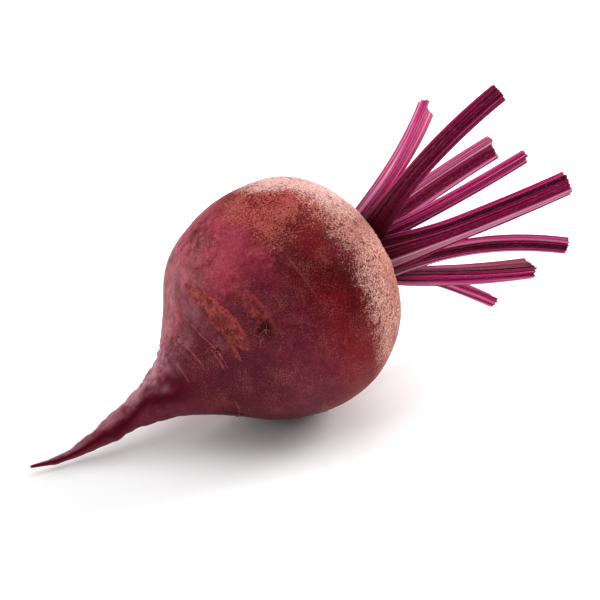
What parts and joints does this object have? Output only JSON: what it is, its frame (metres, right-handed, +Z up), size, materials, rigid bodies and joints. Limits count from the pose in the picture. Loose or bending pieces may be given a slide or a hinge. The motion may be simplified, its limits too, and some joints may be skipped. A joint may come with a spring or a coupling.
{
  "type": "beetroot",
  "caption": "Whole raw beetroot lying on its side: round dark red bulb, long tapering taproot with root hairs, corky crown and cut-back magenta leaf stalks.",
  "frame": {"origin": "middle of the small flat spot that the bulb rests on, at table height", "axes": "+X from the tip of the taproot towards the cut leaf stalks, +Z up, +Y to the far side"},
  "size_m": [0.1965, 0.0824, 0.1078],
  "materials": {
    "root_skin": "satin skin, dark red, turning tan and corky at the crown",
    "leaf_stalk": "satin, ribbed along its length, magenta with dark and pale stripes"
  },
  "bodies": {
    "root": {"beet_root": "root_skin", "leaf_stalk_1": "leaf_stalk", "leaf_stalk_2": "leaf_stalk", "leaf_stalk_3": "leaf_stalk", "leaf_stalk_4": "leaf_stalk", "leaf_stalk_5": "leaf_stalk", "leaf_stalk_6": "leaf_stalk", "leaf_stalk_7": "leaf_stalk", "leaf_stalk_8": "leaf_stalk", "young_stalk_1": "leaf_stalk", "young_stalk_2": "leaf_stalk", "young_stalk_3": "leaf_stalk"}
  },
  "joints": []
}
